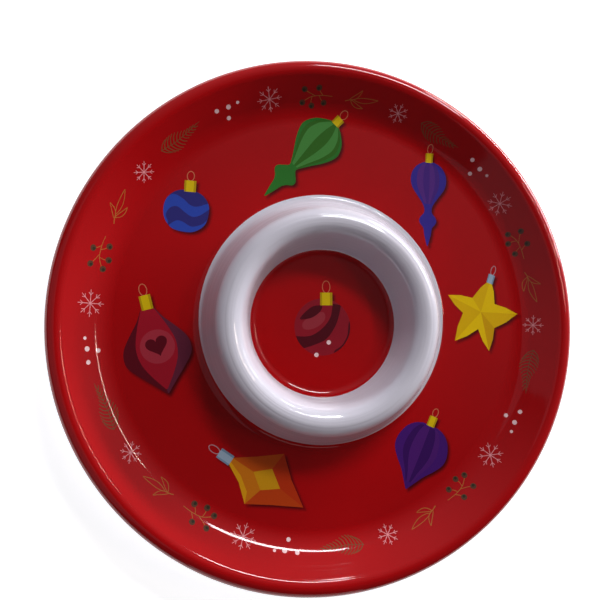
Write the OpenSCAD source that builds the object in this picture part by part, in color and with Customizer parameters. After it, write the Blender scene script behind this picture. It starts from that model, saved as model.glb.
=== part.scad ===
// Round one-piece chip and dip server, moulded in white melamine.
// A raised ring walls off the dip bowl in the middle of the chip tray. Two printed
// foils are pressed into the moulding, one in the tray and one in the dip bowl floor,
// and each lies under its own coat of clear glaze. The white ring between them is bare.
// Millimetres, +Z up. The origin is on the table, under the middle of the server.

/* [Tray] */
// Overall diameter
tray_d = 330; // [280:5:380]
// Height of the rim's crest above the tray floor
rim_h = 18; // [14:1:24]
// Slope of the rim, in degrees
rim_slope = 43; // [35:1:50]
// Radius of the cove between the floor and the rim
cove_r = 20; // [12:1:24]
// Radius of the rolled lip
lip_r = 6.5; // [5:0.5:8]
// How far the lip turns down past its crest, in degrees
lip_turn = 65; // [45:5:80]
// Wall thickness, with foil and glaze
wall_t = 3; // [2.4:0.2:3.6]

/* [Dip ring] */
// Diameter of the ring's crest
ring_d = 123; // [115:1:130]
// Height of the ring's crest above the floor
ring_h = 25; // [20:1:32]
// Radius of the ring's rounded crest
ring_crest_r = 9; // [7:0.5:10]
// Slope of the wall that faces the chips, in degrees
outer_slope = 66; // [60:1:72]
// Slope of the wall that faces the dip, in degrees
inner_slope = 70; // [62:1:76]
// Fillet at the foot of the outer wall
outer_fillet = 7; // [5:0.5:9]
// Fillet at the foot of the inner wall
inner_fillet = 5; // [3:0.5:6]

/* [Print] */
// Thickness of each printed foil
foil_t = 0.25; // [0.2:0.05:0.4]
// Thickness of each glaze coat
glaze_t = 0.25; // [0.2:0.05:0.4]
// How far round the outer fillet the tray foil climbs, in degrees
foil_turn = 52; // [20:1:60]

/* [Foot] */
// Diameter of the foot ring, at the middle of its base
foot_d = 236; // [210:2:250]
// Height of the foot ring
foot_h = 3; // [2:0.5:4]
// Width of the foot ring's base
foot_w = 4; // [3:0.5:6]

/* [Hidden] */

white = "#f4f4f6";
print_red = "#b50f1c";
clear_glaze = [0.95, 0.95, 0.97, 0.3];

arc_step = 4;         // degrees between the points of an arc
turns = 240;          // sides of a full turn
foot_draft = 1.2;     // how much wider the foot is on each side where it joins the wall
foot_round = 0.6;     // chamfer on the foot's lower corners
print_t = foil_t + glaze_t;
floor_z = foot_h + wall_t;

// The ring: where its curves start and end, worked out from its crest
crest_r = ring_d / 2;
crest_z = floor_z + ring_h;
function rise(radius, slope) = radius * (1 - cos(slope));
function run(radius, slope) = radius * sin(slope);
inner_drop = ring_h - rise(ring_crest_r, inner_slope) - rise(inner_fillet, inner_slope);
outer_drop = ring_h - rise(ring_crest_r, outer_slope) - rise(outer_fillet, outer_slope);
dip_floor_r = crest_r - run(ring_crest_r, inner_slope) - inner_drop / tan(inner_slope)
    - run(inner_fillet, inner_slope);
ring_foot_r = crest_r + run(ring_crest_r, outer_slope) + outer_drop / tan(outer_slope)
    + run(outer_fillet, outer_slope);

// The rim: the same, worked back from the lip
lip_c = tray_d / 2 - run(lip_r, lip_turn);
rim_drop = rim_h - rise(lip_r, rim_slope) - rise(cove_r, rim_slope);
well_r = lip_c - run(lip_r, rim_slope) - rim_drop / tan(rim_slope) - run(cove_r, rim_slope);

// Points along an arc, in [radius, height]
function arc(centre, radius, from, to) =
    let (n = ceil(abs(to - from) / arc_step))
    [for (i = [0:n]) let (a = from + (to - from) * i / n)
        [centre[0] + radius * cos(a), centre[1] + radius * sin(a)]];

function reversed(points) = [for (i = [len(points) - 1:-1:0]) points[i]];

// The upper surface in three stretches, each moved down into the wall by depth, square to
// the surface. A hollow curve grows by the depth and a crest shrinks by it.
function dip_skin(depth) = concat(
    [[0, floor_z - depth]],
    arc([dip_floor_r, floor_z + inner_fillet], inner_fillet + depth, -90, inner_slope - 90));

// The middle of the ring's outer fillet, on which the tray foil ends
function outer_fillet_c() = [ring_foot_r, floor_z + outer_fillet];

function ring_skin(depth) = concat(
    [[dip_floor_r, floor_z + inner_fillet]
        + (inner_fillet + depth) * [cos(inner_slope - 90), sin(inner_slope - 90)]],
    arc([crest_r, crest_z - ring_crest_r], ring_crest_r - depth, 90 + inner_slope, 90 - outer_slope),
    arc(outer_fillet_c(), outer_fillet + depth, -90 - outer_slope, -90 - foil_turn));

// The ring's foot and the rim; floor_points are drawn on the flat between them
function tray_skin(depth, floor_points = []) = concat(
    arc(outer_fillet_c(), outer_fillet + depth, -90 - foil_turn, -90),
    floor_points,
    arc([well_r, floor_z + cove_r], cove_r + depth, -90, rim_slope - 90),
    arc([lip_c, floor_z + rim_h - lip_r], lip_r - depth, 90 + rim_slope, 90 - lip_turn));

// The foot ring's outline on the underside, from the inside out
function foot_points() =
    let (r = foot_d / 2, half = foot_w / 2, top = half + foot_draft)
    [[r - top, foot_h], [r - half, foot_round], [r - half + foot_round, 0],
     [r + half - foot_round, 0], [r + half, foot_round], [r + top, foot_h]];

// The body's rounded edge under the lip, flush with the glaze where the print ends
function lip_edge() =
    let (a = 90 - lip_turn, mid = lip_r - wall_t / 2)
    arc([lip_c + mid * cos(a), floor_z + rim_h - lip_r + mid * sin(a)], wall_t / 2, a, a - 180);

module spun(outline) {
    rotate_extrude($fn = turns) polygon(outline);
}

// A thin layer of the given thickness between two depths of the same stretch
module layer(upper, lower) {
    spun(concat(upper, reversed(lower)));
}

// The white moulding: floor, dip ring, rim, rolled lip and foot ring, hollow under the dip ring
module tray_body() {
    color(white)
    spun(concat(
        dip_skin(print_t), ring_skin(0), tray_skin(print_t), lip_edge(),
        reversed(concat(dip_skin(wall_t), ring_skin(wall_t), tray_skin(wall_t, foot_points())))));
}

// The red printed sheet in the chip tray
module tray_print_foil() {
    color(print_red) layer(tray_skin(glaze_t), tray_skin(print_t));
}

// The clear coat over the tray's print
module tray_glaze_coat() {
    color(clear_glaze) layer(tray_skin(0), tray_skin(glaze_t));
}

// The red printed disc on the dip bowl's floor
module dip_print_foil() {
    color(print_red) layer(dip_skin(glaze_t), dip_skin(print_t));
}

// The clear coat over the dip bowl's print
module dip_glaze_coat() {
    color(clear_glaze) layer(dip_skin(0), dip_skin(glaze_t));
}

tray_body();
tray_print_foil();
tray_glaze_coat();
dip_print_foil();
dip_glaze_coat();
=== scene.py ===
import math

import bpy
import numpy as np
from mathutils import Matrix, Vector
from mathutils.geometry import delaunay_2d_cdt


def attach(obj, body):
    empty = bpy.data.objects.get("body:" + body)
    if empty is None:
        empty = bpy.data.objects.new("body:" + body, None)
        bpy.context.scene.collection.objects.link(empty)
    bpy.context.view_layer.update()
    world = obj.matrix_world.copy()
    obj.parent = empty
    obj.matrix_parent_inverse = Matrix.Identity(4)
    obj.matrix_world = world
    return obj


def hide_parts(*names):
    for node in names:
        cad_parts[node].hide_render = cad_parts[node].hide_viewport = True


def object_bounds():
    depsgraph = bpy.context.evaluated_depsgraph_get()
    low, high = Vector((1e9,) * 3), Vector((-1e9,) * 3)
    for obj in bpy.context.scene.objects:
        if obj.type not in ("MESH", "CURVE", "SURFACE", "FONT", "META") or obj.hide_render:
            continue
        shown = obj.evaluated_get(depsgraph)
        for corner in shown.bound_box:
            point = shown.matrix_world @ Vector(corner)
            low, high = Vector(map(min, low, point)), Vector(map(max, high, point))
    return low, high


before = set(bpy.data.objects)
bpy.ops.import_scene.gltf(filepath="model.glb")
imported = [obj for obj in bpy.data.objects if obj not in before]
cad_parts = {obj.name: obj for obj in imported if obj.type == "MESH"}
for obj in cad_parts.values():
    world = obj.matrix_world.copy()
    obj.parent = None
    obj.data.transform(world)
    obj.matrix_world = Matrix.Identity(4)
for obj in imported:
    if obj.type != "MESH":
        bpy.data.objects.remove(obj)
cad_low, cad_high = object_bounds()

# A one-piece melamine chip and dip server: white moulding, red printed foils, clear glaze.
# The scene is in metres, +Z up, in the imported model's frame. Shapes are drawn in millimetres.
# Artwork is drawn in plan, with +X to the right and +Y to the top of the printed picture,
# and laid onto the moulded surface.

MM = 0.001
TURNS = 240                      # meridians of every turned surface
ANGLES = np.arange(TURNS) * 2 * math.pi / TURNS
AROUND = np.stack([np.cos(ANGLES), np.sin(ANGLES)], axis=1)

# ---------------------------------------------------------------- the moulding's section, in mm
RIM_H, RIM_SLOPE, COVE_R = 18, 43, 20
LIP_R, LIP_TURN = 6.5, 65
WALL = 3
# How far the lip's round edge stands out past its upper face
EDGE_BULGE = WALL / 2 * (1 - math.sin(math.radians(LIP_TURN)))
TRAY_D = (cad_high.x - cad_low.x) / MM - 2 * EDGE_BULGE
RING_D, RING_H, CREST_R = 123, 25, 9
OUTER_SLOPE, INNER_SLOPE = 66, 70
OUTER_FILLET, INNER_FILLET = 7, 5
PRINT_DEPTH = 0.5                # foil and glaze together
FOOT_D, FOOT_H, FOOT_W, FOOT_DRAFT = 236, 3, 4, 1.2
FLOOR_Z = FOOT_H + WALL

# Where the printed sheets end in plan: centre and radius. They lie a little off centre.
TRAY_PRINT_EDGE = ((1.1, 2.5), 80.0)
DIP_PRINT_EDGE = ((-0.4, -0.6), 47.0)


def rise(radius, slope):
    return radius * (1 - math.cos(math.radians(slope)))


def run(radius, slope):
    return radius * math.sin(math.radians(slope))


def drop_run(height, slope):
    return height / math.tan(math.radians(slope))


CREST_MID = RING_D / 2
INNER_DROP = RING_H - rise(CREST_R, INNER_SLOPE) - rise(INNER_FILLET, INNER_SLOPE)
OUTER_DROP = RING_H - rise(CREST_R, OUTER_SLOPE) - rise(OUTER_FILLET, OUTER_SLOPE)
DIP_WALL_RUN = run(CREST_R, INNER_SLOPE) + drop_run(INNER_DROP, INNER_SLOPE)
TRAY_WALL_RUN = run(CREST_R, OUTER_SLOPE) + drop_run(OUTER_DROP, OUTER_SLOPE)
DIP_FLOOR_R = CREST_MID - DIP_WALL_RUN - run(INNER_FILLET, INNER_SLOPE)
RING_FOOT_R = CREST_MID + TRAY_WALL_RUN + run(OUTER_FILLET, OUTER_SLOPE)
LIP_C = TRAY_D / 2 - run(LIP_R, LIP_TURN)      # the middle of the lip's arc
RIM_DROP = RIM_H - rise(LIP_R, RIM_SLOPE) - rise(COVE_R, RIM_SLOPE)
LIP_START = LIP_C - run(LIP_R, RIM_SLOPE)
COVE_END = LIP_START - drop_run(RIM_DROP, RIM_SLOPE)
WELL_R = COVE_END - run(COVE_R, RIM_SLOPE)
FLAT_STEPS, ARC_STEPS = 40, 60


def section():
    """The upper surface from the axis to the lip, as rows of radius, height and normal."""
    rows = []

    def flat(start, end):
        for radius in np.linspace(start, end, FLAT_STEPS):
            rows.append((radius, FLOOR_Z, 0.0, 1.0))

    def arc(centre, radius, start, end, hollow):
        for angle in np.radians(np.linspace(start, end, ARC_STEPS)):
            c, s = math.cos(angle), math.sin(angle)
            side = -1 if hollow else 1
            rows.append((centre[0] + radius * c, centre[1] + radius * s, side * c, side * s))

    flat(0, DIP_FLOOR_R)
    arc((DIP_FLOOR_R, FLOOR_Z + INNER_FILLET), INNER_FILLET, -90, INNER_SLOPE - 90, True)
    arc((CREST_MID, FLOOR_Z + RING_H - CREST_R), CREST_R, 90 + INNER_SLOPE, 90 - OUTER_SLOPE, False)
    arc((RING_FOOT_R, FLOOR_Z + OUTER_FILLET), OUTER_FILLET, -90 - OUTER_SLOPE, -90, True)
    flat(RING_FOOT_R, WELL_R)
    arc((WELL_R, FLOOR_Z + COVE_R), COVE_R, -90, RIM_SLOPE - 90, True)
    arc((LIP_C, FLOOR_Z + RIM_H - LIP_R), LIP_R, 90 + RIM_SLOPE, 90 - LIP_TURN, False)
    return np.array(rows)


SECTION = section()
STEPS = np.hypot(*np.diff(SECTION[:, :2], axis=0).T)
LENGTH = np.concatenate([[0], np.cumsum(STEPS)])       # distance along the surface from the axis
TOTAL = LENGTH[-1]


def along(radius):
    """Distance along the surface at a plan radius. The surface never overhangs."""
    return np.interp(radius, SECTION[:, 0], LENGTH)


def on_section(distance, depth=0.0):
    """Radius, height and normal at a distance along the surface, at a depth into the wall."""
    r, z, nr, nz = (np.interp(distance, LENGTH, SECTION[:, k]) for k in range(4))
    size = np.hypot(nr, nz)
    nr, nz = nr / size, nz / size
    return r - depth * nr, z - depth * nz, nr, nz


def edge_radius(edge):
    """Radius from the server's axis, at each meridian, of a circle that lies off centre."""
    (cx, cy), radius = edge
    across = AROUND @ np.array([cx, cy])
    return across + np.sqrt(radius**2 - (cx**2 + cy**2) + across**2)


def ring_points(radii, heights):
    """One ring of points, from a radius and a height at each meridian."""
    radii = np.broadcast_to(radii, TURNS)
    heights = np.broadcast_to(heights, TURNS)
    return np.column_stack([AROUND * radii[:, None], heights])


def add_object(name, data):
    """A new object in the scene."""
    added = bpy.data.objects.new(name, data)
    bpy.context.scene.collection.objects.link(added)
    return added


# ---------------------------------------------------------------- materials
def linear(hex_colour, gain=1.0):
    """A hex colour as linear light, times a gain that allows for the light that falls on it."""
    parts = [int(hex_colour[k:k + 2], 16) / 255 for k in (1, 3, 5)]
    return [min(1.0, gain * (p / 12.92 if p <= 0.04045 else ((p + 0.055) / 1.055) ** 2.4)) for p in parts]


def new_material(name):
    material = bpy.data.materials.new(name)
    material.use_nodes = True
    nodes, links = material.node_tree.nodes, material.node_tree.links
    return material, nodes, links, nodes["Principled BSDF"]


def math_node(nodes, links, kind, first, second=None):
    node = nodes.new("ShaderNodeMath")
    node.operation = kind
    for socket, value in zip(node.inputs, (first, second)):
        if value is None:
            continue
        if isinstance(value, (int, float)):
            socket.default_value = value
        else:
            links.new(value, socket)
    return node.outputs[0]


def noise_node(nodes, links, vector, scale, detail=2.0):
    node = nodes.new("ShaderNodeTexNoise")
    node.inputs["Scale"].default_value = scale
    node.inputs["Detail"].default_value = detail
    links.new(vector, node.inputs["Vector"])
    return node.outputs["Fac"]


# How close together the marks of each kind lie, in repeats a metre
GROOVES, GROOVE_PATCHES, ORANGE_PEEL, MOTTLE = 520, 22, 160, 35
INK_CLOUDS, INK_GRAIN = 14, 2600
# Depths of the marks, in metres
PEEL_DEPTH, BODY_RINGS, PRINT_RINGS = 0.00002, 0.0005, 0.00014


def mould_relief(nodes, links, rings):
    """Bump of a polished mould: soft orange peel, and faint turned rings that come and go."""
    place = nodes.new("ShaderNodeTexCoord").outputs["Object"]
    split = nodes.new("ShaderNodeSeparateXYZ")
    links.new(place, split.inputs[0])
    squares = [math_node(nodes, links, "MULTIPLY", split.outputs[k], split.outputs[k]) for k in (0, 1)]
    radius = math_node(nodes, links, "SQRT", math_node(nodes, links, "ADD", *squares))
    turned = nodes.new("ShaderNodeCombineXYZ")
    links.new(radius, turned.inputs[0])
    links.new(split.outputs[2], turned.inputs[1])
    grooves = noise_node(nodes, links, turned.outputs[0], GROOVES, 1.0)
    presence = noise_node(nodes, links, place, GROOVE_PATCHES)
    grooves = math_node(nodes, links, "MULTIPLY", grooves, presence)
    skin = noise_node(nodes, links, place, ORANGE_PEEL)
    normal = None
    for height, depth in ((skin, PEEL_DEPTH), (grooves, rings)):
        bump = nodes.new("ShaderNodeBump")
        bump.inputs["Distance"].default_value = depth
        bump.inputs["Strength"].default_value = 1.0
        links.new(height, bump.inputs["Height"])
        if normal is not None:
            links.new(normal, bump.inputs["Normal"])
        normal = bump.outputs["Normal"]
    return place, normal


def melamine():
    """White moulded melamine: polished, with a very slight mottle in tone and gloss."""
    material, nodes, links, surface = new_material("white_melamine")
    place, normal = mould_relief(nodes, links, BODY_RINGS)
    mottle = noise_node(nodes, links, place, MOTTLE, 3.0)
    tone = nodes.new("ShaderNodeMix")
    tone.data_type = "RGBA"
    tone.inputs["A"].default_value = (*linear("#dcd7e1"), 1)
    tone.inputs["B"].default_value = (*linear("#e4dfe9"), 1)
    links.new(mottle, tone.inputs["Factor"])
    links.new(tone.outputs["Result"], surface.inputs["Base Color"])
    gloss = nodes.new("ShaderNodeMapRange")
    gloss.inputs["To Min"].default_value = 0.05
    gloss.inputs["To Max"].default_value = 0.10
    links.new(mottle, gloss.inputs["Value"])
    links.new(gloss.outputs["Result"], surface.inputs["Roughness"])
    links.new(normal, surface.inputs["Normal"])
    surface.inputs["IOR"].default_value = 1.56
    return material


def printed(name):
    """Ink on a foil, by the mesh's ink colours, under a clear gloss glaze."""
    material, nodes, links, surface = new_material(name)
    place, normal = mould_relief(nodes, links, PRINT_RINGS)
    ink = nodes.new("ShaderNodeAttribute")
    ink.attribute_name = "ink"
    cloud = noise_node(nodes, links, place, INK_CLOUDS, 3.0)
    grain = noise_node(nodes, links, place, INK_GRAIN, 1.0)
    cloud_share, grain_share = 0.22, 0.16
    amount = math_node(nodes, links, "ADD", math_node(nodes, links, "MULTIPLY", cloud, cloud_share),
                       math_node(nodes, links, "MULTIPLY", grain, grain_share))
    amount = math_node(nodes, links, "ADD", amount, 1 - (cloud_share + grain_share) / 2)
    shade = nodes.new("ShaderNodeVectorMath")
    shade.operation = "SCALE"
    links.new(ink.outputs["Color"], shade.inputs[0])
    links.new(amount, shade.inputs["Scale"])
    links.new(shade.outputs[0], surface.inputs["Base Color"])
    surface.inputs["Roughness"].default_value = 0.45
    surface.inputs["Specular IOR Level"].default_value = 0.0
    surface.inputs["Coat Weight"].default_value = 1.0
    surface.inputs["Coat Roughness"].default_value = 0.07
    surface.inputs["Coat IOR"].default_value = 1.5
    links.new(normal, surface.inputs["Coat Normal"])
    return material


# ---------------------------------------------------------------- artwork: outlines, in mm
INKS = {
    "red": "#a90509", "shadow": "#4a0308",
    "snow": "#dc9296", "dot": "#f2cdcd", "gold": "#a8642a", "pine": "#70482a", "berry": "#5a3424",
    "berry_core": "#2e2a1c", "wire": "#c8704e", "silver_wire": "#b08890",
    "cap": "#d8b90c", "cap_shade": "#b3930a", "steel": "#9aaec0", "steel_shade": "#7690a8",
    "star_light": "#e8c004", "star_mid": "#dcae04", "star_dark": "#ce9a04",
    "indigo": "#37288a", "violet": "#54287c", "plum": "#452278",
    "leaf_light": "#45853a", "leaf_dark": "#31651b", "leaf_edge": "#2c7026",
    "blue": "#2c44a4", "navy": "#2d2a70",
    "maroon": "#5c0c1a", "maroon_light": "#622236", "crimson": "#a01527", "rose": "#a8303e",
    "orange": "#bf4f10", "ember": "#b8330f", "rust": "#bd4010", "amber": "#cb7413",
    "sun": "#dd9c12", "sun_core": "#cf9413",
    "onion": "#43176c", "onion_dark": "#371058", "onion_light": "#4a1a6a",
    "bauble": "#8e1826", "bauble_light": "#99303a", "bauble_dark": "#4f0c18",
}
INK_GAIN = 1.12


def turned_round(points, angle):
    c, s = math.cos(math.radians(angle)), math.sin(math.radians(angle))
    return [(x * c - y * s, x * s + y * c) for x, y in points]


def placed(shapes, at, angle=0.0):
    """Shapes drawn round their own origin, turned and moved into plan. Each is ink, outline and clip."""

    def move(outline):
        if outline is None:
            return None
        return [(x + at[0], y + at[1]) for x, y in turned_round(outline, angle)]

    return [(ink, move(outline), move(clip)) for ink, outline, clip in shapes]


def smooth(points, closed=True, steps=6):
    """A curve through the points, by Catmull and Rom's rule."""
    count = len(points)
    last = count if closed else count - 1
    out = []
    for i in range(last):
        if closed:
            a, b, c, d = (np.array(points[(i + k - 1) % count], float) for k in range(4))
        else:
            a, b, c, d = (np.array(points[min(max(i + k - 1, 0), count - 1)], float) for k in range(4))
        for k in range(steps):
            t = k / steps
            bend, twist = 2 * a - 5 * b + 4 * c - d, 3 * b - a - 3 * c + d
            out.append(tuple(0.5 * (2 * b + (c - a) * t + bend * t**2 + twist * t**3)))
    if not closed:
        out.append(tuple(points[-1]))
    return out


def disc(x, y, radius, sides):
    turns = [2 * math.pi * k / sides for k in range(sides)]
    return [(x + radius * math.cos(turn), y + radius * math.sin(turn)) for turn in turns]


def stroke(points, width, end_width=None):
    """A line of ink as an outline, tapering from width to end_width."""
    end_width = width if end_width is None else end_width
    p = np.array(points, float)
    heading = np.gradient(p, axis=0)
    heading /= np.linalg.norm(heading, axis=1)[:, None]
    side = np.stack([-heading[:, 1], heading[:, 0]], axis=1)
    half = np.linspace(width, end_width, len(p))[:, None] / 2
    return [tuple(q) for q in np.concatenate([p + side * half, (p - side * half)[::-1]])]


def bulb(stations, low=-1.0, high=1.0, top=None, bottom=None):
    """A turned body from (height, half width) stations, or a stripe of it between two shares of its width.

    A stripe reaches from the top height down to the bottom one.
    """
    line = smooth(stations, closed=False, steps=5)
    if top is not None:
        line = [(v, w) for v, w in line if bottom <= v <= top]
    return [(w * high, v) for v, w in line] + [(w * low, v) for v, w in reversed(line)]


def loop(x, y, wide, tall, width=0.5):
    """A wire loop, open at its foot."""
    turn = np.radians(np.linspace(-80, 260, 25))
    return stroke(np.stack([x + wide * np.cos(turn), y + tall * np.sin(turn)], axis=1), width)


def cap(x, base, wide, tall, ink="cap", wire="wire", loop_size=(2.2, 3.0)):
    """An ornament's cap, with its shaded sides and its wire loop."""

    def box(left, right):
        return [(x + left, base), (x + right, base), (x + right, base + tall), (x + left, base + tall)]

    return [
        (wire, loop(x, base + tall + loop_size[1] * 0.95, *loop_size), None),
        (ink + "_shade", box(-wide / 2, wide / 2), None),
        (ink, box(-wide * 0.34, wide * 0.30), None),
    ]


def star():
    """A faceted star. Each arm has its tip, the notch after it, and the inks of its two halves."""
    arms = [
        (71, 23.5, 122, 11.2, "star_mid", "star_light"),
        (154, 26.0, 183, 13.0, "star_mid", "star_light"),
        (225, 27.2, 258, 11.8, "star_light", "star_mid"),
        (281, 26.8, 311, 14.4, "star_dark", "star_light"),
        (357, 26.4, 388, 11.4, "star_light", "star_mid"),
    ]

    def polar(angle, radius):
        return (radius * math.cos(math.radians(angle)), radius * math.sin(math.radians(angle)))

    def bowed(start, end, bow=-0.05):
        sx, sy, ex, ey = *start, *end
        return ((sx + ex) / 2 - (ey - sy) * bow, (sy + ey) / 2 + (ex - sx) * bow)

    shapes = []
    for k, (tip, reach, notch, depth, after, before) in enumerate(arms):
        last = arms[k - 1]
        apex, fore, back = polar(tip, reach), polar(notch, depth), polar(last[2], last[3])
        shapes.append((after, [(0, 0), apex, bowed(apex, fore), fore], None))
        shapes.append((before, [(0, 0), back, bowed(back, apex), apex], None))
    shapes += placed(cap(0, 0, 4.8, 6.2, "steel", "silver_wire", (1.6, 3.2)), polar(71, 20.6), 71 - 90)
    return shapes


# Heights below the cap and half widths of the two drop ornaments
PURPLE_FINIAL = [(0, 3.6), (-2.5, 8.2), (-7, 11.6), (-12.5, 12.6), (-18, 11.2), (-24, 7.0),
                 (-28.5, 3.9), (-31.5, 2.7), (-34.5, 2.8), (-37.5, 5.2), (-40, 6.1), (-42.5, 5.0),
                 (-45, 3.0), (-50, 2.2), (-57, 0.3)]
GREEN_FINIAL = [(0, 3.4), (-2.5, 7.4), (-7, 12.4), (-13, 15.4), (-18, 15.2), (-25, 12.2),
                (-32, 7.8), (-38, 4.2), (-41.5, 2.8), (-44, 4.8), (-47, 7.8), (-50, 8.0),
                (-53, 5.0), (-56, 3.2), (-61, 2.1), (-68, 0.3)]


def striped_drop(stations, ground, stripes, top, neck):
    """A drop-shaped ornament, with stripes from the top to the neck, each between two shares of its width."""
    shapes = [(ground, bulb(stations), None)]
    for ink, low, high in stripes:
        shapes.append((ink, bulb(stations, low, high, top, neck), None))
    return shapes


def purple_finial():
    stripes = [("violet", -0.66, -0.30), ("plum", -0.30, 0.06),
               ("violet", 0.06, 0.36), ("plum", 0.36, 0.62)]
    drop = striped_drop(PURPLE_FINIAL, "indigo", stripes, -0.4, -29)
    return drop + cap(0, -0.3, 5.0, 6.2, loop_size=(1.7, 2.8))


def green_finial():
    stripes = [("leaf_dark", -0.84, -0.66), ("leaf_light", -0.66, -0.16), ("leaf_dark", -0.16, 0.30),
               ("leaf_light", 0.30, 0.68), ("leaf_dark", 0.68, 0.86)]
    drop = striped_drop(GREEN_FINIAL, "leaf_edge", stripes, -0.4, -40)
    return drop + cap(0, -0.4, 6.0, 5.8, loop_size=(2.3, 2.9))


def blue_ball():
    ball = smooth([(0, 13.2), (8.5, 11.2), (13.4, 5.2), (13.9, -1.5), (11.8, -8.4), (5.6, -12.9),
                   (-1.5, -13.3), (-8.4, -11.4), (-12.8, -6.0), (-13.9, 1.2), (-11.9, 7.6), (-6.8, 12.0)],
                  steps=4)
    upper = smooth([(-15, 4.2), (-8.8, 9.8), (-2.3, 7.4), (2.3, 3.7), (7.0, 3.1), (15, 6.4)], closed=False)
    lower = smooth([(15, 2.6), (8.6, -2.3), (3.9, -3.5), (-0.8, -1.0), (-5.4, 2.2), (-9.7, 1.2),
                    (-12.2, -3.4), (-10.5, -8.6), (-15, -9)], closed=False)
    foot = smooth([(-13, -13), (-9.7, -9.6), (-5.4, -6.6), (-1.6, -7.2), (3.9, -9.8), (10.1, -8.0),
                   (13, -5)], closed=False)
    return [
        ("navy", ball, None),
        ("blue", upper + lower, ball),
        ("blue", foot + [(13, -15), (-13, -15)], ball),
    ] + cap(1.6, 12.0, 7.2, 7.2, loop_size=(2.2, 3.0))


def heart_curve(size, sides=40):
    t = np.linspace(0, 2 * math.pi, sides, endpoint=False)
    x = 16 * np.sin(t) ** 3
    y = 13 * np.cos(t) - 5 * np.cos(2 * t) - 2 * np.cos(3 * t) - np.cos(4 * t)
    return [(size * a / 32, size * (b + 2) / 32) for a, b in zip(x, y)]


def heart_ornament():
    body = [(22.5, 4.2), (16, 8), (9, 13.8), (2, 18.8), (-4, 20.4), (-10, 19.2), (-17, 13.3),
            (-24, 6.5), (-30.3, 0.6)]
    lens = [(22.5, 3.9), (12, 8.6), (1, 12.0), (-9, 11.2), (-18, 6.9), (-27.5, 0.5)]
    return [
        ("maroon", bulb(body), None),
        ("maroon_light", bulb(body, 0.0, 1.0), None),
        ("crimson", bulb(lens), None),
        ("rose", disc(0.7, -1.1, 10.4, sides=44), bulb(lens)),
        *placed([("maroon", heart_curve(13.4), None)], (0.6, -1.2), 6),
    ] + cap(0.4, 22.2, 7.0, 9.0, loop_size=(2.3, 3.6))


def diamond():
    top, right, bottom, left = (-0.5, 25.4), (19.1, 0.1), (-1.1, -29.3), (-19.1, 2.9)
    corner, waist = (-4.7, 25.4), (-10.6, 13.4)
    up, east, down, west = (-0.3, 9.6), (7.5, 0.9), (0.3, -10.3), (-7.1, -0.4)
    return [
        ("orange", [up, east, right, (8.3, 13.4), top], None),
        ("ember", [east, down, bottom, (8.6, -13.2), right], None),
        ("rust", [down, west, left, (-10.2, -12.4), bottom], None),
        ("amber", [west, up, top, corner, waist, left], None),
        ("sun", [(-12.4, 6.0), (-6.4, 15.0), (-2.9, 25.4), corner, waist, left], None),
        ("sun_core", [up, west, down, east], None),
    ] + cap(-2.5, 24.9, 6.6, 9.2, "steel", "silver_wire", (2.0, 3.8))


def onion():
    body = [(17.0, 5.5), (15, 10.6), (10.4, 15.4), (3, 18.2), (-3.5, 17.8), (-9.5, 13.8), (-15.5, 8.2),
            (-20.5, 4.6), (-26.5, 0.4)]
    stripes = [("onion_dark", -0.66, -0.40), ("onion_light", -0.40, 0.02), ("onion_dark", 0.02, 0.40),
               ("onion_light", 0.40, 0.62)]
    return striped_drop(body, "onion", stripes, 16.0, -22) + cap(0, 16.4, 5.6, 6.8, loop_size=(1.9, 2.8))


def striped_bauble():
    ball = disc(0, 0, 18.3, sides=60)
    cap_band = smooth([(-14.6, 5.0), (-11.4, 9.4), (-5.9, 13.3), (-0.3, 13.5), (-1.9, 9.4), (-7.5, 5.8)])
    sweep = smooth([(12.4, 14), (9.2, 2.2), (2.9, -7.3), (-5.1, -11.3), (-14, -14)], closed=False)
    sweep += smooth([(-18.5, -5.6), (-8.3, -5.7), (-0.3, -1.0), (5.2, 6.2), (6.8, 15)], closed=False)
    edge = smooth([(19, 4), (17.3, 2.2), (16.3, -5.7), (12.4, -12.1), (7.6, -15.6), (9, -20), (20, -12)])
    glow = smooth([(-12.5, 3.2), (-6.5, 7.6), (0.5, 9.5), (1.6, 5.0), (-2.6, 0.6), (-8.5, -1.6),
                   (-12.6, -0.8)])
    return [
        ("bauble", ball, None),
        ("bauble_light", glow, ball),
        ("bauble_dark", cap_band, ball),
        ("bauble_dark", sweep, ball),
        ("bauble_dark", edge, ball),
        ("dot", disc(4.0, -9.9, 1.45, sides=16), None),
        ("dot", disc(-4.1, -17.8, 1.45, sides=16), None),
    ] + cap(2.6, 13.9, 8.0, 8.2, loop_size=(2.5, 3.9))


# The rim's small motifs are drawn as they stand at the left of the tray: up is clockwise, right is inward,
# measured along the surface.
def snowflake(size):
    """Eight barbed arms round a small eight-petalled heart."""
    shapes = []
    reach, line = size / 2, 0.44
    for k in range(8):
        arm = [("snow", stroke([(0, 0), (0, reach * 0.5), (0, reach)], line, line * 0.8), None)]
        for side in (-1, 1):
            arm.append(("snow", stroke([(0, reach * 0.60), (side * reach * 0.08, reach * 0.70),
                                        (side * reach * 0.17, reach * 0.80)], line * 0.8), None))
        arm.append(("snow", disc(0, reach * 0.30, 0.34, sides=6), None))
        shapes += placed(arm, (0, 0), 45 * k)
    return shapes


def dots():
    return [("dot", disc(x, y, size / 2, sides=18), None)
            for x, y, size in ((-1.6, 4.3, 3.1), (-1.9, 10.7, 2.0), (5.0, 2.3, 2.7), (-2.1, -3.6, 2.8))]


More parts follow.
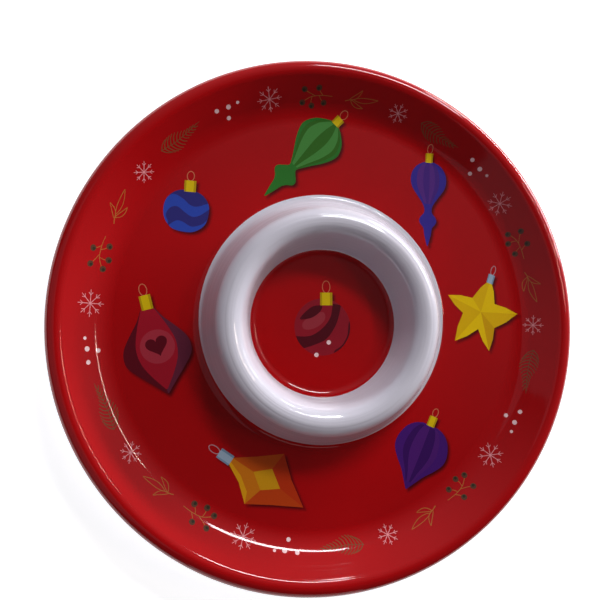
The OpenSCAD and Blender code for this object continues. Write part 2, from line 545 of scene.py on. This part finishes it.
def leaf(start, tip, wide, bow):
    """An almond leaf drawn as one thin line. bow bends it to its right."""
    start, tip = np.array(start), np.array(tip)
    length = float(np.linalg.norm(tip - start))
    ahead = (tip - start) / length
    side = np.array([ahead[1], -ahead[0]])
    t = np.linspace(0, 1, 12)[:, None]
    spine = start + ahead * length * t + side * bow * np.sin(math.pi * t)
    half = wide / 2 * np.sin(math.pi * t ** 0.85) ** 0.9
    return [("gold", stroke(spine + side * half * k, 0.40), None) for k in (-1, 1)]


def sprig():
    stem = smooth([(3.0, -8.7), (1.9, -6.4), (0.9, -3.4)], closed=False, steps=4)
    shapes = [("gold", stroke(stem, 0.5, 0.4), None)]
    shapes += leaf((0.9, -3.4), (-1.5, 12.4), 3.3, 0.5)
    shapes += leaf((1.7, -6.0), (-5.9, 0.8), 2.2, 0.9)
    shapes += leaf((1.5, -5.2), (5.4, 4.0), 2.4, 1.0)
    return shapes


def berries():
    main = smooth([(1.6, 12.3), (0.9, 5.7), (1.4, -0.4), (3.2, -4.2), (5.0, -6.6)], closed=False, steps=4)
    shapes = [("gold", stroke(main, 0.34, 0.42), None)]
    fruit = [((5.7, 7.0), (0.9, 3.6)), ((-4.0, 3.2), (1.0, 6.2)), ((7.5, -1.0), (1.6, -1.0)),
             ((-2.9, -6.2), (1.1, 1.0)), ((5.6, -7.1), (3.4, -4.4))]
    for (x, y), foot in fruit:
        sag = ((x + foot[0]) / 2, (y + foot[1]) / 2 - 0.5)
        shapes.append(("gold", stroke([foot, sag, (x, y)], 0.36), None))
    for (x, y), _ in fruit:
        shapes.append(("berry", disc(x, y, 1.95, sides=16), None))
        shapes.append(("berry_core", disc(x + 0.4, y - 0.3, 0.95, sides=10), None))
    return shapes


# Levels of the pine branch and its half width there
PINE_OUTLINE = [(-15.8, 0.3), (-12, 3.8), (-8, 5.5), (-5, 6.0), (-2, 5.4), (1, 3.9), (4, 2.7),
                (8, 2.1), (11, 1.5), (14, 0)]
PINE_TWIGS, TWIG_STEP = 12, 2.25


def pine():
    """A feathered branch: broad near its foot, drawn out to a narrow tip."""
    shapes = [("pine", stroke([(0.4, -15.8), (1.2, -6), (0.4, 4), (-0.7, 14)], 0.36, 0.3), None)]
    levels, widths = zip(*PINE_OUTLINE)
    for k in range(PINE_TWIGS):
        foot = -15.4 + TWIG_STEP * k
        tip = foot + 2.2 + 3.2 * math.exp(-k / 6)
        reach = float(np.interp(tip, levels, widths))
        middle = 0.4 + 0.8 * math.cos((foot + 5) / 8)
        for side in (-1, 1):
            line = smooth([(middle, foot), (middle + side * reach * 0.62, foot + (tip - foot) * 0.40),
                           (middle + side * reach, tip)], closed=False, steps=3)
            shapes.append(("pine", stroke(line, 0.60, 0.44), None))
    return shapes


PRINT_SHIFT = (0.5, 2.6)         # the tray's print lies this far off centre
RIM_BAND_R = 143.5
RIM_START, RIM_STEP, RIM_REPEATS = -3.0, 12.0, 5      # degrees, degrees, rounds of the six motifs
# Each motif, with its place in its own frame: inward and clockwise
RIM_MOTIFS = [
    (lambda: snowflake(13.2), (0.8, -2.3)), (sprig, (0, 0)), (berries, (0, 0)),
    (lambda: snowflake(16.2), (1.0, 1.0)), (dots, (0, 0)), (pine, (0, 0)),
]


def wrapped(outline, angle):
    """A rim motif's outline in plan, from its own frame along the sloping surface."""
    inward = -np.array([math.cos(math.radians(angle)), math.sin(math.radians(angle))])
    clockwise = np.array([-inward[1], inward[0]])
    middle = np.array(PRINT_SHIFT) - inward * RIM_BAND_R
    radius = float(np.linalg.norm(middle))
    points = np.array(outline, float)
    inward_run = radius - np.interp(along(radius) - points[:, 0], LENGTH, SECTION[:, 0])
    return [tuple(p) for p in middle + inward_run[:, None] * inward + points[:, 1:] * clockwise]


def rim_band():
    shapes = []
    for k in range(RIM_REPEATS * len(RIM_MOTIFS)):
        motif, shift = RIM_MOTIFS[k % len(RIM_MOTIFS)]
        angle = RIM_START + RIM_STEP * k
        shapes += [(ink, wrapped(outline, angle), None) for ink, outline, _ in placed(motif(), shift)]
    return shapes


# Each ornament in the tray: its drawing, its place in plan and its turn
ORNAMENTS = [
    (star, (108.8, 6.5), 0),
    (purple_finial, (73.7, 107.6), -2.4),
    (green_finial, (8.9, 130.0), -43.5),
    (blue_ball, (-87.0, 69.4), -3),
    (heart_ornament, (-104.4, -14.0), 14.3),
    (diamond, (-37.0, -98.0), 54.2),
    (onion, (64.3, -83.7), -24),
]
SHADOW_SHIFT = (1.5, -1.6)       # the printed drop shadows fall down and to the right
SHADOW_SOFT = 1.5                # half the width over which a shadow fades
SHADOW_GRID = 1.15               # how far apart the mesh points lie there


# ---------------------------------------------------------------- printed sheets
def signed_area(outline):
    x, y = np.array(outline).T
    return 0.5 * float(np.sum(x * np.roll(y, -1) - y * np.roll(x, -1)))


def distance_inside(points, outline):
    """Distance of each point from an outline, positive inside it."""
    a = np.array(outline, float)
    b = np.roll(a, -1, axis=0)
    ab = b - a
    ap = points[:, None, :] - a[None]
    t = np.clip((ap * ab).sum(2) / np.maximum((ab * ab).sum(1), 1e-12), 0, 1)
    gap = np.linalg.norm(ap - t[..., None] * ab, axis=2).min(1)
    x, y = points[:, :1], points[:, 1:]
    crosses = (a[:, 1] > y) != (b[:, 1] > y)
    where = ab[:, 0] * (y - a[:, 1]) / np.where(ab[:, 1] == 0, 1e-12, ab[:, 1]) + a[:, 0]
    inside = (crosses & (x < where)).sum(1) % 2 == 1
    return np.where(inside, gap, -gap)


def shadow_at(points, casters):
    """How dark the printed drop shadows are at each point, from 0 to 1."""
    dark = np.zeros(len(points))
    for outline in casters:
        moved = np.array(outline) + SHADOW_SHIFT
        near = np.all((points > moved.min(0) - 4) & (points < moved.max(0) + 4), axis=1)
        if not near.any():
            continue
        share = np.clip(distance_inside(points[near], moved) / (2 * SHADOW_SOFT) + 0.5, 0, 1)
        dark[near] = np.maximum(dark[near], share * share * (3 - 2 * share))
    return dark


def shadow_grid(casters):
    """Extra points in a triangular grid where a drop shadow fades."""
    found = []
    for outline in casters:
        moved = np.array(outline) + SHADOW_SHIFT
        low, high = moved.min(0) - 3, moved.max(0) + 3
        rows = np.arange(low[1], high[1], SHADOW_GRID * 0.866)
        grid = np.array([(x + (k % 2) * SHADOW_GRID / 2, y) for k, y in enumerate(rows)
                         for x in np.arange(low[0], high[0], SHADOW_GRID)])
        fade = np.abs(distance_inside(grid, moved)) < SHADOW_SOFT * 1.4
        outside = distance_inside(grid, outline) < 0.3
        found.append(grid[fade & outside])
    return np.concatenate(found) if found else np.zeros((0, 2))


def triangulate(rings, extra, shapes, hole):
    """Cuts the plan into triangles along the rings and every outline.

    Returns the points, the triangles, the ink of each, and where each given point ended up.
    """
    points = [tuple(p) for p in np.concatenate(rings)]
    edges = []
    for k in range(len(rings)):
        edges += [(k * TURNS + i, k * TURNS + (i + 1) % TURNS) for i in range(TURNS)]
    points += [tuple(p) for p in extra]
    outlines, uses = [], []

    def add(outline):
        outline = list(outline) if signed_area(outline) > 0 else list(outline)[::-1]
        start = len(points)
        points.extend(outline)
        outlines.append(list(range(start, start + len(outline))))
        return len(outlines) - 1

    hole_id = add(rings[0]) if hole else -1
    known = {}
    for ink, outline, clip in shapes:
        clip_id = -1
        if clip is not None:
            key = tuple(clip)
            if key not in known:
                known[key] = add(clip)
            clip_id = known[key]
        uses.append((add(outline), clip_id, ink))
    flat = [Vector(p) for p in points]
    found, _, triangles, sources, _, members = delaunay_2d_cdt(flat, edges, outlines, 0, 1e-5, True)
    kept, inks = [], []
    for triangle, inside in zip(triangles, members):
        inside = set(inside)
        if hole_id in inside:
            continue
        ink = "red"
        for outline_id, clip_id, name in uses:
            if outline_id in inside and (clip_id < 0 or clip_id in inside):
                ink = name
        kept.append(tuple(triangle))
        inks.append(ink)
    where = {source: k for k, group in enumerate(sources) for source in group}
    return np.array([tuple(p) for p in found]), kept, inks, where


def printed_sheet(name, material, rings, shapes, casters, hole):
    """A thin closed sheet, foil and glaze together, whose upper face is the glaze and carries the inks."""
    plan, triangles, inks, where = triangulate(rings, shadow_grid(casters), shapes, hole)
    radius = np.linalg.norm(plan, axis=1)
    _, z, nr, nz = on_section(along(radius))
    out = plan / np.maximum(radius, 1e-9)[:, None]
    top = np.column_stack([plan, z])
    top_normals = np.column_stack([out * nr[:, None], nz])
    dark = shadow_at(plan, casters)

    under, under_normals = [], []
    for ring in rings[:-1:3] + [rings[-1]]:
        r = np.linalg.norm(ring, axis=1)
        rr, zz, a, b = on_section(along(r), PRINT_DEPTH)
        heading = ring / np.maximum(r, 1e-9)[:, None]
        under.append(np.column_stack([heading * rr[:, None], zz]))
        under_normals.append(np.column_stack([-heading * a[:, None], -b]))
    base = len(top)
    faces = [list(t) for t in triangles]
    colours = list(inks)
    normals = [[top_normals[i] for i in t] for t in triangles]
    flat_under = np.concatenate(under_normals)

    def quad(corners, their_normals):
        faces.append(corners)
        colours.append("red")
        normals.append(their_normals)

    for k in range(len(under) - 1):
        for i in range(TURNS):
            j = (i + 1) % TURNS
            ids = [k * TURNS + i, k * TURNS + j, (k + 1) * TURNS + j, (k + 1) * TURNS + i]
            quad([base + n for n in ids], [flat_under[n] for n in ids])
    last_top, last_under = (len(rings) - 1) * TURNS, (len(under) - 1) * TURNS
    for i in range(TURNS):
        j = (i + 1) % TURNS
        face_out = [*AROUND[i], 0.0]
        outer_wall = [where[last_top + i], base + last_under + i, base + last_under + j, where[last_top + j]]
        quad(outer_wall, [face_out] * 4)
        if hole:
            face_in = [*-AROUND[i], 0.0]
            quad([where[i], where[j], base + j, base + i], [face_in] * 4)
    if not hole:
        centre = len(top) + len(under) * TURNS
        under.append(np.array([[0, 0, FLOOR_Z - PRINT_DEPTH]]))
        for i in range(TURNS):
            faces.append([centre, base + (i + 1) % TURNS, base + i])
            colours.append("red")
            normals.append([(0, 0, -1)] * 3)

    mesh = bpy.data.meshes.new(name)
    vertices = np.concatenate([top, *under]) * MM
    mesh.from_pydata(vertices.tolist(), [], faces)
    mesh.update()
    paint = mesh.attributes.new("ink", "FLOAT_COLOR", "CORNER")
    palette = {key: np.array(linear(value, INK_GAIN)) for key, value in INKS.items()}
    values = []
    for face, ink in zip(faces, colours):
        for corner in face:
            tone = palette[ink]
            if ink == "red" and corner < base:
                tone = tone + (palette["shadow"] - tone) * dark[corner]
            values.extend([*tone, 1.0])
    paint.data.foreach_set("color", values)
    mesh.shade_smooth()
    mesh.normals_split_custom_set([tuple(n) for group in normals for n in group])
    mesh.materials.append(material)
    return add_object(name, mesh)


def arc_rings(radius, height, bend, start, end, count):
    """Rings along an arc of the outline, about a radius and height."""
    angles = np.radians(np.linspace(start, end, count))
    return [ring_points(radius + bend * math.cos(a), height + bend * math.sin(a)) for a in angles]


def circle_ring(radius):
    return AROUND * radius


def rings_between(first, last, count):
    """Rings of plan points, evenly from one ring to the next, with the last left out."""
    return [first + (last - first) * k / count for k in range(count)]


def tray_print():
    edge = AROUND * edge_radius(TRAY_PRINT_EDGE)[:, None]
    rings = rings_between(edge, circle_ring(RING_FOOT_R), 8)
    rings += rings_between(circle_ring(RING_FOOT_R), circle_ring(WELL_R), 7)
    rings += rings_between(circle_ring(WELL_R), circle_ring(COVE_END), 12)
    rings += rings_between(circle_ring(COVE_END), circle_ring(LIP_START), 3)
    for angle in np.linspace(-RIM_SLOPE, LIP_TURN, 25):
        rings.append(circle_ring(LIP_C + run(LIP_R, angle)))
    shapes, casters = rim_band(), []
    for draw, at, angle in ORNAMENTS:
        drawing = placed(draw(), at, angle)
        shapes += drawing
        casters += shadow_casters(draw, drawing)
    return printed_sheet("tray_print", printed("tray_print"), rings, shapes, casters, hole=True)


# How many of an ornament's first shapes make up its body, where it is more than one
BODY_SHAPES = {star: 10, diamond: 4}


def shadow_casters(draw, drawing):
    """The outlines that throw an ornament's printed shadow: its body and its cap."""
    body = drawing[:BODY_SHAPES.get(draw, 1)]
    return [outline for _, outline, _ in body + [drawing[-2]]]


def dip_print():
    edge = AROUND * edge_radius(DIP_PRINT_EDGE)[:, None]
    rings = [circle_ring(2.0)] + rings_between(circle_ring(6.0), circle_ring(DIP_FLOOR_R), 5)
    rings += rings_between(circle_ring(DIP_FLOOR_R), edge, 9) + [edge]
    shapes = placed(striped_bauble(), (-0.7, -3.3))
    return printed_sheet("dip_print", printed("dip_print"), rings, shapes, [shapes[-2][1]], hole=False)


# ---------------------------------------------------------------- the white moulding
# The innermost rings, inside which the floor and the underside close at the axis
TOP_POLE_R, UNDER_POLE_R = 1.0, 5.0


def lathe(name, rings, material):
    """A closed surface through rings of points, with a pole at each end."""
    vertices = [(0, 0, float(rings[0][:, 2].mean()))]
    vertices += [tuple(p) for ring in rings for p in ring]
    vertices.append((0, 0, float(rings[-1][:, 2].mean())))
    faces = []
    for i in range(TURNS):
        faces.append((0, 1 + i, 1 + (i + 1) % TURNS))
    for k in range(len(rings) - 1):
        low, high = 1 + k * TURNS, 1 + (k + 1) * TURNS
        for i in range(TURNS):
            j = (i + 1) % TURNS
            faces.append((low + i, high + i, high + j, low + j))
    low, end = 1 + (len(rings) - 1) * TURNS, len(vertices) - 1
    for i in range(TURNS):
        faces.append((low + i, end, low + (i + 1) % TURNS))
    mesh = bpy.data.meshes.new(name)
    mesh.from_pydata((np.array(vertices) * MM).tolist(), [], faces)
    mesh.update()
    mesh.shade_smooth()
    mesh.set_sharp_from_angle(angle=math.radians(32))
    mesh.materials.append(material)
    return add_object(name, mesh)


def moulding():
    """Floor, dip ring, rim, rolled lip and foot ring, turned as one closed skin."""

    def stretch(start, end, count, depth, last=False):
        """Rings along the surface between two distances, each a number or one value a meridian."""
        found = []
        for k in range(count + (1 if last else 0)):
            share = k / count
            distance = np.broadcast_to(start, TURNS) * (1 - share) + np.broadcast_to(end, TURNS) * share
            r, z, _, _ = on_section(distance, depth)
            found.append(ring_points(r, z))
        return found

    dip_edge = along(edge_radius(DIP_PRINT_EDGE))
    tray_edge = along(edge_radius(TRAY_PRINT_EDGE))
    rings = stretch(TOP_POLE_R, along(DIP_FLOOR_R), 4, PRINT_DEPTH)
    rings += stretch(along(DIP_FLOOR_R), dip_edge, 6, PRINT_DEPTH, last=True)
    rings += stretch(dip_edge, tray_edge, 84, 0.0, last=True)
    rings += stretch(tray_edge, along(RING_FOOT_R), 6, PRINT_DEPTH)
    rings += stretch(along(RING_FOOT_R), along(WELL_R), 6, PRINT_DEPTH)
    rings += stretch(along(WELL_R), along(COVE_END), 10, PRINT_DEPTH)
    rings += stretch(along(COVE_END), along(LIP_START), 2, PRINT_DEPTH)
    rings += stretch(along(LIP_START), TOTAL, 18, PRINT_DEPTH, last=True)

    # The rounded edge under the lip, flush with the glaze
    edge_angle = 90 - LIP_TURN
    middle = LIP_R - WALL / 2
    centre = (LIP_C + middle * math.cos(math.radians(edge_angle)),
              FLOOR_Z + RIM_H - LIP_R + middle * math.sin(math.radians(edge_angle)))
    rings += arc_rings(*centre, WALL / 2, edge_angle, edge_angle - 180, 15)

    # The underside, back to the axis, with the foot ring
    lip_start, cove_end = along(LIP_START), along(COVE_END)
    under = np.concatenate([
        np.linspace(TOTAL, lip_start, 16)[1:],
        np.linspace(lip_start, cove_end, 3)[1:],
        np.linspace(cove_end, along(WELL_R), 12)[1:],
    ])
    rings += [ring_points(*on_section(s, WALL)[:2]) for s in under]
    foot, half, bevel = FOOT_D / 2, FOOT_W / 2, 0.9
    # The foot's flank: how far each ring stands out from its base, and how far down the foot it is
    flank = [(FOOT_DRAFT + 1.5, 0), (FOOT_DRAFT, 0.08), (0.35, 0.9)]
    rings += [ring_points(foot + half + spread, FOOT_H - down) for spread, down in flank]
    rings += arc_rings(foot + half - bevel, bevel, bevel, 0, -90, 7)
    rings += arc_rings(foot - half + bevel, bevel, bevel, -90, -180, 7)
    rings += [ring_points(foot - half - spread, FOOT_H - down) for spread, down in reversed(flank)]
    crest_in = CREST_MID - run(CREST_R, INNER_SLOPE)
    crest_out = CREST_MID + run(CREST_R, OUTER_SLOPE)
    fillet_out = RING_FOOT_R - run(OUTER_FILLET, OUTER_SLOPE)
    fillet_in = DIP_FLOOR_R + run(INNER_FILLET, INNER_SLOPE)
    # Where each stretch under the ring starts, and how many rings it has
    corners = [(RING_FOOT_R, 12), (fillet_out, 6), (crest_out, 20), (crest_in, 5),
               (fillet_in, 12), (DIP_FLOOR_R, 4)]
    distances = []
    for (start, count), end in zip(corners, [c[0] for c in corners[1:]] + [UNDER_POLE_R]):
        distances += list(np.linspace(along(start), along(end), count + 1)[:-1])
    rings += [ring_points(*on_section(s, WALL)[:2]) for s in distances + [UNDER_POLE_R]]
    return lathe("moulded_body", rings, melamine())


# ---------------------------------------------------------------- pieces
PIECES = [
    (moulding, ("tray_body",), "melamine"),
    (tray_print, ("tray_print_foil", "tray_glaze_coat"), "tray_print"),
    (dip_print, ("dip_print_foil", "dip_glaze_coat"), "dip_print"),
]
for make, nodes, slot in PIECES:
    piece = make()
    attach(piece, "root")
    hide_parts(*nodes)


# ---------------------------------------------------------------- stage, light and camera
def stage_floor():
    """A wide flat pale floor, lit a little from within so that it stays pale."""
    mesh = bpy.data.meshes.new("floor")
    size = 60.0
    corners = [(-size, -size, 0), (size, -size, 0), (size, size, 0), (-size, size, 0)]
    mesh.from_pydata(corners, [], [(0, 1, 2, 3)])
    material, nodes, links, surface = new_material("pale_floor")
    place = nodes.new("ShaderNodeTexCoord").outputs["Object"]
    tone = nodes.new("ShaderNodeMix")
    tone.data_type = "RGBA"
    tone.inputs["A"].default_value = (0.88, 0.88, 0.88, 1)
    tone.inputs["B"].default_value = (0.93, 0.93, 0.93, 1)
    links.new(noise_node(nodes, links, place, 3.0), tone.inputs["Factor"])
    links.new(tone.outputs["Result"], surface.inputs["Base Color"])
    surface.inputs["Roughness"].default_value = 0.9
    surface.inputs["Emission Color"].default_value = (1, 1, 1, 1)
    surface.inputs["Emission Strength"].default_value = 0.75
    mesh.materials.append(material)
    add_object("floor", mesh)


def softbox(name, azimuth, elevation, distance, size, power, colour):
    """A rectangular lamp that faces the server."""
    a, e = math.radians(azimuth), math.radians(elevation)
    heading = Vector((math.cos(a) * math.cos(e), math.sin(a) * math.cos(e), math.sin(e)))
    lamp = bpy.data.lights.new(name, "AREA")
    lamp.shape = "RECTANGLE"
    lamp.size, lamp.size_y = size
    lamp.energy = power
    lamp.color = colour
    box = add_object(name, lamp)
    box.location = heading * distance
    box.rotation_mode = "QUATERNION"
    box.rotation_quaternion = heading.to_track_quat("Z", "Y")


def sky():
    """A dim room, a little brighter towards the window side."""
    world = bpy.data.worlds.new("room")
    bpy.context.scene.world = world
    world.use_nodes = True
    nodes, links = world.node_tree.nodes, world.node_tree.links
    heading = nodes.new("ShaderNodeTexCoord").outputs["Generated"]
    dot = nodes.new("ShaderNodeVectorMath")
    dot.operation = "DOT_PRODUCT"
    dot.inputs[1].default_value = (0.45, 0.85, -0.10)
    links.new(heading, dot.inputs[0])
    ramp = nodes.new("ShaderNodeMapRange")
    ramp.inputs["From Min"].default_value = -0.1
    ramp.inputs["From Max"].default_value = 0.6
    ramp.inputs["To Min"].default_value = 0.055
    ramp.inputs["To Max"].default_value = 0.30
    links.new(dot.outputs["Value"], ramp.inputs["Value"])
    background = nodes["Background"]
    background.inputs["Color"].default_value = (0.86, 0.92, 1.0, 1)
    links.new(ramp.outputs["Result"], background.inputs["Strength"])


def camera():
    """Held over the tray and tilted a little. The offset is the tray floor's middle, seen from the camera."""
    turn_x, turn_y = math.radians(-3.55), math.radians(9.80)
    axis = Vector((turn_x, turn_y, 0))
    tilt = Matrix.Rotation(axis.length, 3, axis.normalized())
    offset = Vector((15.13, -14.00, -358.9)) * MM
    data = bpy.data.cameras.new("camera")
    data.sensor_width = 36
    data.lens = 33.54
    data.clip_start = 0.01
    view = add_object("camera", data)
    view.location = -(tilt.transposed() @ offset) + Vector((0, 0, FLOOR_Z * MM))
    view.rotation_mode = "QUATERNION"
    view.rotation_quaternion = tilt.transposed().to_quaternion()
    bpy.context.scene.camera = view


stage_floor()
softbox("window", 63, 37.5, 1.6, (0.74, 0.18), 13.0, (0.95, 0.97, 1.0))
softbox("side_window", 16, 44, 1.6, (0.50, 0.020), 2.2, (1.0, 0.84, 0.70))
softbox("low_window", 35, 9.5, 1.6, (1.3, 0.10), 21, (0.95, 0.97, 1.0))
softbox("room_fill", 268, 11, 2.0, (1.4, 0.5), 1.6, (0.94, 0.97, 1.0))
softbox("left_fill", 195, 46, 2.4, (2.8, 2.8), 4.2, (1.0, 0.82, 0.96))
sky()
camera()
bpy.context.scene.view_settings.view_transform = "Standard"
